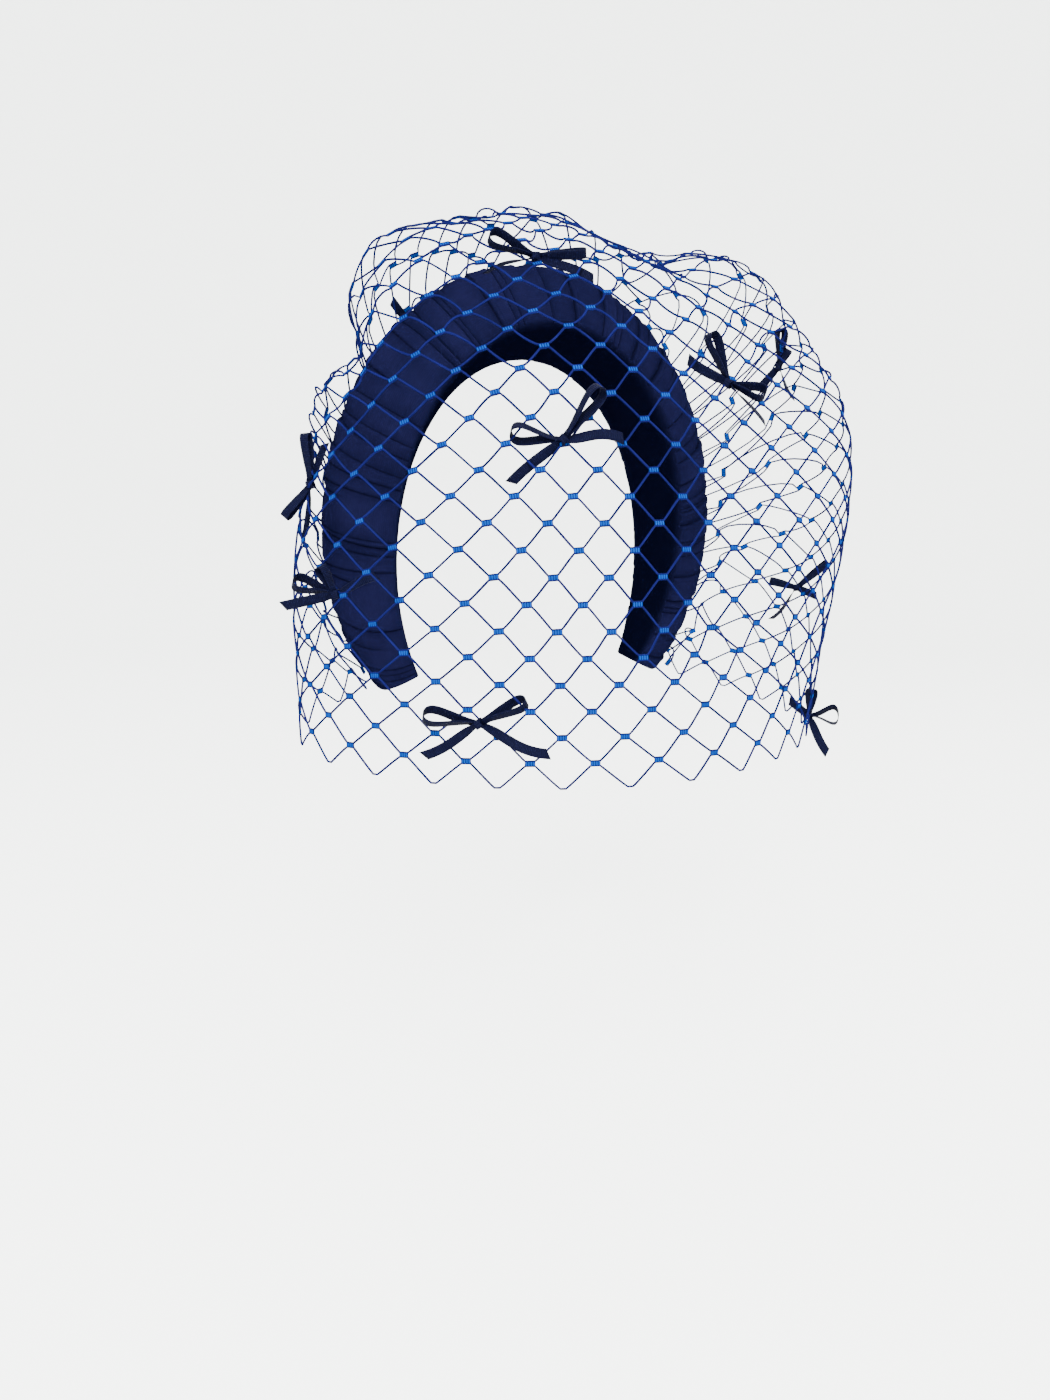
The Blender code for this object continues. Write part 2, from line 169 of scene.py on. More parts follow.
# A bow faces so many degrees round from straight ahead and so many up. The way of a loop or
# a tail is its angle as seen from there, and its reach and opening are in millimetres.
Bow = namedtuple("Bow", "name column row round up loops tails")
Loop = namedtuple("Loop", "way reach opening lean")
Tail = namedtuple("Tail", "way reach sway twist")
BOWS = (
    Bow("bow_crown", -1.25, 11.25, -27.0, -8.0,
        (Loop(157.0, 20.0, 9.5, 42.0), Loop(4.0, 20.0, 3.2, -66.0)),
        (Tail(-20.0, 25.0, 3.0, 20.0), Tail(197.0, 21.0, -6.0, 76.0))),
    Bow("bow_brow", -1.6875, 6.5625, -29.0, -2.0,
        (Loop(53.0, 23.5, 8.5, 45.0), Loop(171.0, 19.0, 9.5, -42.0)),
        (Tail(1.0, 22.5, 8.0, 14.0), Tail(219.0, 24.5, -2.0, 8.0))),
    Bow("bow_left_temple", 1.0, 7.875, -38.0, -5.0,
        (Loop(111.0, 20.5, 7.5, 52.0), Loop(-17.0, 15.0, 8.5, -50.0)),
        (Tail(149.0, 18.5, 3.0, 10.0), Tail(-46.0, 21.5, 2.0, 74.0))),
    Bow("bow_left_puff", 5.3125, 10.0, -38.0, -4.0,
        (Loop(88.0, 18.5, 7.5, 50.0), Loop(62.0, 9.0, 4.5, -66.0)),
        (Tail(228.0, 12.5, 0.0, 8.0), Tail(-62.0, 18.0, -6.0, 66.0))),
    Bow("bow_right_cheek", -3.25, 1.25, -25.0, 6.0,
        (Loop(171.0, 21.0, 9.0, 46.0), Loop(25.0, 19.5, 7.5, -56.0)),
        (Tail(210.0, 24.0, 4.0, 18.0), Tail(-24.0, 29.0, -6.0, 16.0))),
    Bow("bow_right_temple", -6.25, 5.75, -20.0, 0.0,
        (Loop(94.0, 20.5, 5.0, 66.0), Loop(230.0, 17.0, 4.0, -68.0)),
        (Tail(261.0, 21.5, 2.0, 62.0), Tail(69.0, 17.5, 0.0, 40.0))),
    Bow("bow_right_side", -5.5, 3.5, -20.0, 4.0,
        (Loop(162.0, 17.0, 9.0, 48.0), Loop(118.0, 12.0, 5.5, -56.0)),
        (Tail(192.0, 21.0, 0.0, 12.0), Tail(24.0, 17.5, 4.0, 24.0))),
    Bow("bow_left_side", 6.875, 3.125, -40.0, 3.0,
        (Loop(166.0, 14.0, 2.5, 70.0), Loop(41.0, 20.5, 3.0, -70.0)),
        (Tail(-22.0, 11.0, 0.0, 8.0), Tail(233.0, 21.0, 6.0, 64.0))),
    Bow("bow_left_hem", 4.375, 0.375, -40.0, 8.0,
        (Loop(86.0, 12.0, 6.0, 56.0), Loop(3.0, 13.0, 11.0, -30.0)),
        (Tail(143.0, 11.0, 0.0, 12.0), Tail(-62.0, 19.5, -3.0, 12.0))),
    Bow("bow_back", -3.125, 14.875, -20.0, -6.0,
        (Loop(20.0, 15.0, 6.0, 50.0), Loop(-62.0, 15.0, 6.0, -50.0)),
        (Tail(128.0, 8.5, 0.0, 5.0), Tail(-20.0, 17.0, -3.0, 30.0))),
)

# Sewn heading of the veil
HEADING_TURN = 170.0
HEADING_REACH = 0.975
HEADING_RADIUS = 0.00036
STITCH_SPACING = 0.0085
STITCH_HALF_LENGTH = 0.0024
STITCH_RADIUS = 0.00030

# Colours, linear
NAVY_CLOTH = (0.0014, 0.0016, 0.0074, 1.0)
NAVY_CLOTH_LIGHT = (0.0042, 0.0042, 0.0188, 1.0)
# Near-black colour of the painted shade in the creases and on the underside.
NAVY_PAINTED_SHADE = (0.0003, 0.0004, 0.0018, 1.0)
THREAD_BLUE = (0.0038, 0.0044, 0.0400, 1.0)
THREAD_DARK = (0.0020, 0.0023, 0.0180, 1.0)
# The knots' own brighter blue, raised further as painted sheen in place of a shine on their thread.
KNOT_BLUE_WITH_SHEEN = (0.0024, 0.0340, 0.1900, 1.0)
KNOT_DARK_WITH_SHEEN = (0.0014, 0.0150, 0.1000, 1.0)
# Colour of the painted shade in the grooves between the turns of a knot.
GROOVE_PAINTED_SHADE = (0.0010, 0.0022, 0.0180, 1.0)
RIBBON_NAVY = (0.0008, 0.0009, 0.0044, 1.0)
# Lighter ribbon colour, reached by worn patches, the woven edge and the painted highlight on the ribs.
RIBBON_LIGHT = (0.0022, 0.0026, 0.0115, 1.0)
FLOOR_WHITE = (0.80, 0.81, 0.80, 1.0)


class Wire:
    """A value in a material's nodes that can be used in a Python expression."""

    def __init__(self, finish, socket):
        self.finish = finish
        self.socket = socket

    def combine(self, operation, first, second=0.0):
        return self.finish.node("ShaderNodeMath", {"operation": operation}, {0: first, 1: second})

    def __add__(self, other):
        return self.combine("ADD", self, other)

    def __radd__(self, other):
        return self.combine("ADD", other, self)

    def __sub__(self, other):
        return self.combine("SUBTRACT", self, other)

    def __rsub__(self, other):
        return self.combine("SUBTRACT", other, self)

    def __mul__(self, other):
        return self.combine("MULTIPLY", self, other)

    def __rmul__(self, other):
        return self.combine("MULTIPLY", other, self)

    def __pow__(self, other):
        return self.combine("POWER", self, other)

    def wave(self):
        """A smooth wave from 0 to 1, one for each whole step of this value."""
        turned = self.combine("SINE", self * (2.0 * math.pi))
        return turned * 0.5 + 0.5


class Finish:
    """One material and the nodes that give it its detail."""

    def __init__(self, name, **plain):
        self.material = bpy.data.materials.new(name)
        self.material.use_nodes = True
        self.tree = self.material.node_tree
        self.shader = self.tree.nodes["Principled BSDF"]
        for socket, value in plain.items():
            self.shader.inputs[socket.replace("_", " ")].default_value = value

    def node(self, kind, settings, sockets, output=0):
        made = self.tree.nodes.new(kind)
        for name, value in settings.items():
            if name == "stops":
                self.set_stops(made, value)
            else:
                setattr(made, name, value)
        for key, value in sockets.items():
            if isinstance(value, Wire):
                self.tree.links.new(value.socket, made.inputs[key])
            else:
                made.inputs[key].default_value = value
        return Wire(self, made.outputs[output])

    def set_stops(self, ramp, stops):
        elements = ramp.color_ramp.elements
        while len(elements) < len(stops):
            elements.new(0.5)
        for element, (position, colour) in zip(elements, stops):
            element.position = position
            element.color = colour

    def drive(self, socket, wire):
        self.tree.links.new(wire.socket, self.shader.inputs[socket])

    def place(self, output="Object"):
        return self.node("ShaderNodeTexCoord", {}, {}, output)

    def uv(self, name):
        return self.node("ShaderNodeUVMap", {"uv_map": name}, {})

    def axis(self, vector, index):
        return self.node("ShaderNodeSeparateXYZ", {}, {0: vector}, index)

    def noise(self, vector, scale, detail=2.0):
        sockets = {"Vector": vector, "Scale": scale, "Detail": detail, "Roughness": 0.55}
        return self.node("ShaderNodeTexNoise", {}, sockets, "Fac")

    def stretched(self, vector, scale):
        return self.node("ShaderNodeMapping", {}, {"Vector": vector, "Scale": scale})

    def blend(self, mask, first, second):
        settings = {"data_type": "RGBA", "clamp_factor": True}
        return self.node("ShaderNodeMix", settings, {0: mask, 6: first, 7: second}, 2)

    def bump(self, height, strength, distance):
        sockets = {"Strength": strength, "Distance": distance, "Height": height}
        return self.node("ShaderNodeBump", {}, sockets)


def cloth_finish():
    """Fine plain-woven navy cloth, with painted shade darkening it in and beside its creases and on its underside.
    """
    finish = Finish("navy_band_cloth", Specular_IOR_Level=0.0)
    cloth = finish.uv("cloth")
    along = finish.axis(cloth, 0)
    across = finish.axis(cloth, 1)
    weave = (along * 2300.0).wave() * (across * 2300.0).wave()
    slubs = finish.noise(finish.stretched(cloth, (60.0, 1400.0, 1.0)), 1.0, 3.0)
    threads = finish.noise(finish.stretched(cloth, (1500.0, 50.0, 1.0)), 1.0, 3.0)
    cloudy = finish.noise(cloth, 45.0, 3.0)
    # The attribute read here is painted shade: it darkens the cloth in its creases, beside them and on its
    # underside.
    crease = finish.node("ShaderNodeAttribute", {"attribute_name": "crease"}, {}, "Fac")
    shade = cloudy * 0.8 + slubs * 0.35 + weave * 0.25 - 0.25
    woven = finish.blend(shade, NAVY_CLOTH, NAVY_CLOTH_LIGHT)
    finish.drive("Base Color", finish.blend(crease, woven, NAVY_PAINTED_SHADE))
    finish.drive("Roughness", cloudy * 0.14 + slubs * 0.12 + 0.44)
    relief = weave * 0.5 + slubs * 0.3 + threads * 0.2
    finish.drive("Normal", finish.bump(relief, 0.35, 0.00018))
    return finish.material


def thread_finish(name, dark, light):
    """Twisted thread: its two plies show as fine slanting bands, and painted shade darkens the grooves between the
    turns of a knot.
    """
    finish = Finish(name, Specular_IOR_Level=0.0)
    place = finish.place()
    slanted = finish.axis(place, 0) * 1400.0 + finish.axis(place, 2) * 1900.0
    twist = slanted.wave()
    mottle = finish.noise(place, 70.0, 2.0)
    groove = finish.node("ShaderNodeAttribute", {"attribute_name": "groove"}, {}, "Fac")
    plain = finish.blend(twist * 0.12 + mottle * 1.10, dark, light)
    # Painted shade in the grooves between the turns of a knot.
    finish.drive("Base Color", finish.blend(groove, plain, GROOVE_PAINTED_SHADE))
    finish.drive("Roughness", mottle * 0.20 + 0.38)
    finish.drive("Normal", finish.bump(twist, 0.15, 0.00010))
    return finish.material


def ribbon_finish():
    """Narrow navy ribbon with fine ribs across it and a firmer woven edge; the rib crests carry a painted highlight
    in its colour.
    """
    finish = Finish("navy_ribbon", Specular_IOR_Level=0.01)
    ribbon = finish.uv("ribbon")
    ribs = (finish.axis(ribbon, 0) * 1350.0).wave()
    wear = finish.noise(ribbon, 700.0, 3.0)
    middle = finish.axis(ribbon, 1) * (2.0 / RIBBON_WIDTH)
    edge = middle ** 8.0
    # The ribs' share of the colour is a painted highlight on their crests; the wear and the lighter edge are the
    # ribbon's own.
    finish.drive("Base Color", finish.blend(ribs * 0.6 + wear * 0.3 + edge * 0.15, RIBBON_NAVY, RIBBON_LIGHT))
    finish.drive("Roughness", wear * 0.15 + ribs * 0.10 + 0.42)
    finish.drive("Normal", finish.bump(ribs + edge * 0.6, 0.55, 0.00022))
    return finish.material


def floor_finish():
    """Plain pale matt floor with the faintest cloudiness."""
    finish = Finish("pale_floor", Specular_IOR_Level=0.2)
    mottle = finish.noise(finish.place(), 3.0, 2.0)
    finish.drive("Base Color", finish.blend(mottle * 0.3, FLOOR_WHITE, (0.84, 0.85, 0.84, 1.0)))
    finish.drive("Roughness", mottle * 0.1 + 0.75)
    return finish.material


def place_object(name, bm, material, smooth=True):
    mesh = bpy.data.meshes.new(name)
    bm.to_mesh(mesh)
    bm.free()
    if smooth:
        mesh.shade_smooth()
    mesh.materials.append(material)
    thing = bpy.data.objects.new(name, mesh)
    bpy.context.scene.collection.objects.link(thing)
    return thing


def make_camera():
    lens = bpy.data.cameras.new("photo_camera")
    lens.lens = CAMERA_LENS
    lens.sensor_width = 36.0
    lens.clip_start = 0.01
    camera = bpy.data.objects.new("photo_camera", lens)
    camera.location = CAMERA_PLACE
    camera.rotation_euler = (math.radians(CAMERA_TILT), 0.0, math.radians(CAMERA_HEADING))
    bpy.context.scene.collection.objects.link(camera)
    bpy.context.scene.camera = camera


def area_light(name, place, aim, size, watts):
    lamp = bpy.data.lights.new(name, "AREA")
    lamp.shape = "DISK"
    lamp.size = size
    lamp.energy = watts
    light = bpy.data.objects.new(name, lamp)
    light.location = place
    light.rotation_euler = (Vector(aim) - Vector(place)).to_track_quat("-Z", "Y").to_euler()
    bpy.context.scene.collection.objects.link(light)


def make_room():
    """A pale floor far below the part, a pale sky and large soft lights."""
    profile = [Vector((0.0, 0.0, 0.0)), Vector((0.5 * ROOM_RADIUS, 0.0, 0.0))]
    for step in range(13):
        turn = 0.5 * math.pi * step / 12
        profile.append(Vector((
            ROOM_RADIUS - ROOM_COVE + ROOM_COVE * math.sin(turn),
            0.0,
            ROOM_COVE * (1.0 - math.cos(turn)),
        )))
    profile.append(Vector((ROOM_RADIUS, 0.0, ROOM_HEIGHT)))
    bm = bmesh.new()
    drawn = [bm.verts.new(point) for point in profile]
    edges = [bm.edges.new(pair) for pair in zip(drawn, drawn[1:])]
    bmesh.ops.spin(
        bm, geom=drawn + edges, cent=(0.0, 0.0, 0.0), axis=(0.0, 0.0, 1.0),
        angle=2.0 * math.pi, steps=96, use_merge=True,
    )
    bmesh.ops.remove_doubles(bm, verts=bm.verts[:], dist=0.0001)
    bmesh.ops.translate(bm, verts=bm.verts[:], vec=(0.0, 0.0, FLOOR_HEIGHT))
    floor = place_object("pale_floor", bm, floor_finish())
    sky = bpy.data.worlds.new("pale_room")
    sky.use_nodes = True
    background = sky.node_tree.nodes["Background"]
    background.inputs["Color"].default_value = (0.93, 0.945, 0.94, 1.0)
    background.inputs["Strength"].default_value = ROOM_LIGHT
    bpy.context.scene.world = sky
    area_light("window", (-1.1, -2.0, 1.6), (0.0, 0.0, -0.1), 1.2, 300.0)
    area_light("bounce", (2.0, -0.8, 0.7), (0.0, 0.0, -0.1), 1.6, 40.0)
    area_light("back", (0.4, 2.2, 1.6), (0.0, 0.0, -0.2), 1.6, 25.0)


def signed_power(value, exponent):
    return math.copysign(abs(value) ** exponent, value)


def band_frame(arc):
    """Centre, outward and forward directions, thickness and width of the band at arc -1 to 1."""
    angle = math.radians(BAND_END_ANGLE) * arc
    across = BAND_HALF_WIDTH * math.sin(angle)
    drop = BAND_HALF_HEIGHT * (1.0 - math.cos(angle))
    step_across = BAND_HALF_WIDTH * math.cos(angle)
    step_drop = BAND_HALF_HEIGHT * math.sin(angle)
    step = math.hypot(step_across, step_drop)
    rake = math.radians(BAND_RAKE)
    side = Vector((1.0, 0.0, 0.0))
    down = Vector((0.0, math.sin(rake), -math.cos(rake)))
    forward = Vector((0.0, -math.cos(rake), -math.sin(rake)))
    centre = side * across + down * drop
    outward = side * (step_drop / step) - down * (step_across / step)
    lean = math.radians(BAND_LEAN) * (1.0 - abs(arc) ** 1.5)
    leaning_outward = outward * math.cos(lean) - forward * math.sin(lean)
    leaning_forward = forward * math.cos(lean) + outward * math.sin(lean)
    fullness = 1.0 - abs(arc) ** 3.7
    thickness = BAND_END_THICKNESS + (BAND_TOP_THICKNESS - BAND_END_THICKNESS) * fullness
    spread = 1.0 - abs(arc) ** 5.0
    width = BAND_END_WIDTH + (BAND_TOP_WIDTH - BAND_END_WIDTH) * spread
    return centre, leaning_outward, leaning_forward, thickness, width


def seat_point():
    """The middle of the band's underside before it is moved to the origin."""
    centre, outward, forward, thickness, width = band_frame(0.0)
    return centre - outward * (BAND_UNDERSIDE_PADDING * thickness)


SEAT = seat_point()


def skin_point(station, turn, grow=0.0, sink=0.0):
    """A point on the band's skin at one station: turn 0 is the front edge, 90 the outside."""
    centre, outward, forward, thickness, width = station
    along = math.cos(math.radians(turn))
    out = math.sin(math.radians(turn))
    rounding = BAND_SQUARENESS if out >= 0.0 else BAND_UNDERSIDE_ROUND
    sideways = 0.5 * signed_power(along, rounding) * (width + 2.0 * grow - 2.0 * sink * abs(along))
    if out >= 0.0:
        height = out * (thickness + grow - sink)
    else:
        height = -(BAND_UNDERSIDE_PADDING * thickness - 0.4 * sink) * (-out) ** BAND_UNDERSIDE_FALL
    return centre + forward * sideways + outward * height - SEAT


def band_point(arc, turn, grow=0.0):
    return skin_point(band_frame(arc), turn, grow)


def crease_list():
    """Creases along the band: place at the outside, shifts at the front and back edge, depth, reach."""
    chooser = random.Random(CREASE_SEED)
    creases = []
    place = -BAND_HALF_LENGTH + 0.006
    while place < BAND_HALF_LENGTH - 0.006:
        share = place / BAND_HALF_LENGTH
        front = CREASE_SLANT * signed_power(share, 0.8) + chooser.uniform(-0.004, 0.004)
        back = -0.35 * CREASE_SLANT * share + chooser.uniform(-0.004, 0.004)
        depth = chooser.uniform(*CREASE_DEPTH)
        start = chooser.choice((-40.0, -40.0, 15.0, 45.0))
        end = chooser.choice((220.0, 220.0, 150.0, 115.0))
        side = chooser.choice((-1.0, 1.0))
        creases.append((place, front, back, depth, start, end, side))
        if chooser.random() < 0.50:
            near = place + chooser.uniform(0.0016, 0.0030)
            creases.append((near, front * 0.6, back, depth * 0.6, -40.0, 130.0, side))
        place += chooser.uniform(*CREASE_SPACING)
    return creases


def crease_field():
    """How far the cloth sinks at each station and turn, and how much painted shade darkens it there: dark lines in
    the creases, gloom beside them and shade on the underside.
    """
    lengths = np.linspace(-BAND_HALF_LENGTH, BAND_HALF_LENGTH, BAND_STATIONS + 1)[:, None]
    turns = np.linspace(0.0, 360.0, BAND_ROUND + 1)[None, :]
    around = np.radians(turns)
    frontness = 0.5 + 0.5 * np.cos(around)
    upper = np.clip(np.sin(around) * 4.0 + 1.3, 0.0, 1.0)
    signed_turns = np.where(turns > 270.0, turns - 360.0, turns)
    sink = np.zeros((BAND_STATIONS + 1, BAND_ROUND + 1))
    shade = np.zeros_like(sink)
    for place, front, back, depth, start, end, side in crease_list():
        shift = front * frontness ** 1.5 + back * (1.0 - frontness) ** 1.5
        distance = (lengths - place - shift) * side
        fade = np.clip((signed_turns - start) / 30.0, 0.0, 1.0) * np.clip((end - signed_turns) / 30.0, 0.0, 1.0)
        fade = fade * fade * (3.0 - 2.0 * fade) * (0.3 + 0.7 * upper)
        soft = np.exp(-np.maximum(distance, 0.0) / CREASE_SOFT_SIDE)
        sharp = np.exp(np.minimum(distance, 0.0) / CREASE_SHARP_SIDE)
        ridge = np.exp(-((distance + CREASE_RIDGE) / (0.7 * CREASE_RIDGE)) ** 2)
        sink += depth * fade * (soft * sharp - 0.30 * ridge)
        # Painted shade: a dark line along each of the creases and a softer gloom on its soft side.
        line = np.exp(-np.abs(distance) / PAINTED_CREASE_LINE)
        shade = np.maximum(shade, fade * line * (0.80 + 0.20 * depth / CREASE_DEPTH[1]))
        shade = np.maximum(shade, PAINTED_CREASE_GLOOM * fade * soft * sharp)
    near_end = np.clip((BAND_HALF_LENGTH - np.abs(lengths)) / CREASE_END_FADE, 0.25, 1.0)
    # Painted shade on the underside, reaching just past the front and back edges.
    painted_underside_shade = np.clip(0.22 - np.sin(around) * 1.25, 0.0, 1.0) * UNDERSIDE_SHADE
    return sink * near_end, np.clip(np.maximum(shade, painted_underside_shade), 0.0, 1.0)


def make_band(material):
    """The padded arch with its cloth drawn into cross folds, and its blunt flat ends."""
    bm = bmesh.new()
    bmesh.ops.create_grid(bm, x_segments=BAND_STATIONS, y_segments=BAND_ROUND, size=1.0)
    sink, shade = crease_field()
    stations = [band_frame(-1.0 + 2.0 * index / BAND_STATIONS) for index in range(BAND_STATIONS + 1)]
    # This attribute carries the painted shade of the cloth.
    painted_shade_layer = bm.verts.layers.float.new("crease")
    cloth = bm.loops.layers.uv.new("cloth")
    places = {}
    for vert in bm.verts:
        places[vert] = (
            round((vert.co.x + 1.0) * 0.5 * BAND_STATIONS),
            round((vert.co.y + 1.0) * 0.5 * BAND_ROUND),
        )
    for face in bm.faces:
        for loop in face.loops:
            station, step = places[loop.vert]
            loop[cloth].uv = (
                BAND_HALF_LENGTH * (2.0 * station / BAND_STATIONS - 1.0),
                BAND_GIRTH * step / BAND_ROUND,
            )
    for vert, (station, step) in places.items():
        step %= BAND_ROUND
        turn = 360.0 * step / BAND_ROUND
        smooth = skin_point(stations[station], turn)
        rumple = noise.noise(smooth * 170.0) * CLOTH_RUMPLE
        from_end = min(station, BAND_STATIONS - station) / END_STATIONS
        rounding = END_ROUNDING * (1.0 - math.sqrt(1.0 - (1.0 - min(from_end, 1.0)) ** 2))
        vert.co = skin_point(stations[station], turn, -rounding, sink[station, step] + rumple)
        vert[painted_shade_layer] = shade[station, step]
    bmesh.ops.remove_doubles(bm, verts=bm.verts[:], dist=0.00001)
    rims = [edge for edge in bm.edges if edge.is_boundary]
    caps = bmesh.ops.holes_fill(bm, edges=rims, sides=0)["faces"]
    bmesh.ops.poke(bm, faces=caps)
    bmesh.ops.recalc_face_normals(bm, faces=bm.faces[:])
    return place_object("band_cloth", bm, material)


def fall_value(column, name):
    """Smooth value of one named column of the table of falls."""
    place = VEIL_COLUMN_NAMES.index(name)
    rows = VEIL_FALLS
    start = 0
    while start < len(rows) - 2 and column > rows[start + 1][0]:
        start += 1
    first = rows[start]
    second = rows[start + 1]
    earlier = rows[max(start - 1, 0)]
    later = rows[min(start + 2, len(rows) - 1)]
    span = second[0] - first[0]
    t = (column - first[0]) / span
    leaving = (second[place] - earlier[place]) / (second[0] - earlier[0]) * span
    arriving = (later[place] - first[place]) / (later[0] - first[0]) * span
    return (
        (2 * t ** 3 - 3 * t ** 2 + 1) * first[place]
        + (t ** 3 - 2 * t ** 2 + t) * leaving
        + (3 * t ** 2 - 2 * t ** 3) * second[place]
        + (t ** 3 - t ** 2) * arriving
    )


def fall_guide(column):
    """Guide points of one fall of the veil, from the hem up over the puff to the band."""
    angle = math.radians(fall_value(column, "hem_angle"))
    radius = fall_value(column, "hem_radius")
    arc = fall_value(column, "band_arc")
    puff = fall_value(column, "puff")
    swell = fall_value(column, "swell")
    away = Vector((math.sin(angle), -math.cos(angle), 0.0))
    hem = away * radius
    hem.y += VEIL_AXIS_SETBACK
    hem.z = fall_value(column, "hem_height")
    centre, outward, forward, thickness, width = band_frame(arc)
    upright = (outward + forward * PUFF_FORWARD).normalized()
    crest = band_point(arc, 80.0) + upright * puff
    sewn = band_point(arc, 165.0, CLEARANCE + STRAND_THICKNESS)
    behind = sewn + (crest - sewn) * 0.42 - forward * BEHIND_GAP + outward * 0.003
    guide = []
    steps = 10
    for step in range(steps + 1):
        part = step / steps
        quarter = 0.5 * math.pi * part
        inward = 1.0 - math.cos(quarter) ** CREST_FULLNESS
        point = hem.lerp(crest, inward)
        point.z = hem.z + (crest.z - hem.z) * math.sin(quarter) ** 0.9
        point += away * (swell * math.sin(math.pi * part ** 0.9) ** 1.5)
        guide.append(point)
    guide.append(behind)
    guide.append(sewn)
    return guide


def smooth_line(guide, pieces=6):
    """A curve through the guide points with its running length."""
    ends = [guide[0] * 2 - guide[1]] + guide + [guide[-1] * 2 - guide[-2]]
    points = []
    for index in range(1, len(ends) - 2):
        a, b, c, d = ends[index - 1:index + 3]
        for piece in range(pieces):
            t = piece / pieces
            points.append(0.5 * (2 * b + (c - a) * t + (2 * a - 5 * b + 4 * c - d) * t ** 2
                                 + (3 * b - a - 3 * c + d) * t ** 3))
    points.append(guide[-1])
    lengths = [0.0]
    for before, after in zip(points, points[1:]):
        lengths.append(lengths[-1] + (after - before).length)
    return points, lengths


FALL_LINES = {}


def fall_line(line):
    """The fall at one line number; there are several lines to a column."""
    if line not in FALL_LINES:
        FALL_LINES[line] = smooth_line(fall_guide(line / LINES_PER_COLUMN))
    return FALL_LINES[line]


def lines_beside(column):
    last = LAST_COLUMN * LINES_PER_COLUMN
    position = max(-last, min(last, column * LINES_PER_COLUMN))
    line = min(math.floor(position), last - 1)
    return line, position - line


def top_row(column):
    """Number of half rows of mesh between the hem and the band on this column."""
    line, part = lines_beside(column)
    lower = fall_line(line)[1][-1]
    upper = fall_line(line + 1)[1][-1]
    return (lower + (upper - lower) * part) / HALF_ROW


def point_on_fall(line, row):
    points, lengths = fall_line(line)
    rise = min(max(row * HALF_ROW, 0.0), lengths[-1])
    index = 1
    while index < len(lengths) - 1 and lengths[index] < rise:
        index += 1
    part = (rise - lengths[index - 1]) / (lengths[index] - lengths[index - 1])
    return points[index - 1].lerp(points[index], part)


def drifting(place):
    """A smooth uneven shift in all three directions, always the same at the same place."""
    return Vector([noise.noise(place + Vector(aside)) for aside in DRIFTING_PLACES])


def looseness(column, row):
    """How loosely the veil hangs: 0 on its lower part and at the sewn edge, 1 on the puffs."""
    share = row / top_row(column)
    rise = min(max((share - 0.30) / 0.35, 0.0), 1.0)
    return rise * rise * (3.0 - 2.0 * rise) * min(1.0, max(1.0 - share, 0.0) / 0.10)


def tack_depth(column, row):
    depth = 0.0
    for tack in TACKS:
        aside = (column - tack[0]) / tack[3]
        above = (row - tack[1]) / tack[4]
        depth += tack[2] * math.exp(-aside * aside - above * above)
    return depth


def veil_point(column, row):
    line, part = lines_beside(column)
    plain = point_on_fall(line, row).lerp(point_on_fall(line + 1, row), part)
    loose = looseness(column, row)
    if loose == 0.0:
        return plain
    ruffle = drifting(plain * RUFFLE_SCALE) * (RUFFLE_DEPTH * loose)
    inwards = (Vector((0.0, -0.010, -0.070)) - plain).normalized()
    return plain + ruffle + inwards * (tack_depth(column, row) * loose)


def drawn_column(column, row):
    """Where a column of mesh lies at this height: it is drawn sideways between hem and band."""
    columns = [place for place, shift in DRIFT_PLACES]
    shifts = [shift for place, shift in DRIFT_PLACES]
    shift = sum(np.interp(column + aside, columns, shifts) for aside in (-0.6, 0.0, 0.6)) / 3.0
    rise = min(max(row, 0.0) / DRIFT_ROWS, 1.0)
    fall = min(max(top_row(column) - row, 0.0) / DRIFT_FADE_ROWS, 1.0)
    return column + float(shift) * rise * fall


def mesh_point(column, row):
    """A place on the veil counted in its own columns and half rows of mesh."""
    return veil_point(drawn_column(column, row), row)


def veil_directions(column, row):
    """Sideways, rising and outward directions of the veil at one place."""
    step = 0.2
    low = max(row - step, 0.0)
    high = min(row + step, top_row(column))
    rising = (veil_point(column, high) - veil_point(column, low)).normalized()
    left = max(column - step, -LAST_COLUMN)
    right = min(column + step, LAST_COLUMN)
    sideways = veil_point(right, row) - veil_point(left, row)
    sideways = (sideways - rising * sideways.dot(rising)).normalized()
    return sideways, rising, sideways.cross(rising)


def inside_veil(place):
    column, row = place
    return abs(column) <= LAST_COLUMN and row <= top_row(column)


def edge_crossing(inner, outer):
    """The place where a strand meets the sewn edge of the veil."""
    for _ in range(16):
        middle = ((inner[0] + outer[0]) * 0.5, (inner[1] + outer[1]) * 0.5)
        if inside_veil(middle):
            inner = middle
        else:
            outer = middle
    return inner


class Crossing:
    """A place where two threads of the veil run together for a few millimetres."""

    def __init__(self, column, row):
        self.column = column
        self.row = row
        self.centre = mesh_point(column, row)
        self.sideways, self.rising, self.outward = veil_directions(drawn_column(column, row), row)
        self.is_hem = row < 0.01
        before = mesh_point(max(column - 0.25, -LAST_COLUMN), row)
        after = mesh_point(min(column + 0.25, LAST_COLUMN), row)
        self.fullness = min(1.0, (after - before).length / FULL_HALF_COLUMN)

    def end(self, direction, upper):
        """Where a thread leaves the crossing, towards the left or the right."""
        half = KNOT_HALF_LENGTH * self.fullness
        height = KNOT_RAIL * KNOT_HALF_HEIGHT * (1.0 if upper else -1.0)
        if self.is_hem:
            half = 0.0011
            height = 0.0002
        return self.centre + self.sideways * (direction * half) + self.rising * height


CROSSINGS = {}


def crossing(half_column, half_row):
    key = (half_column, half_row)
    if key not in CROSSINGS:
        place = (half_column * 0.5, half_row * 0.5)
        CROSSINGS[key] = Crossing(*place) if inside_veil(place) else None
    return CROSSINGS[key]


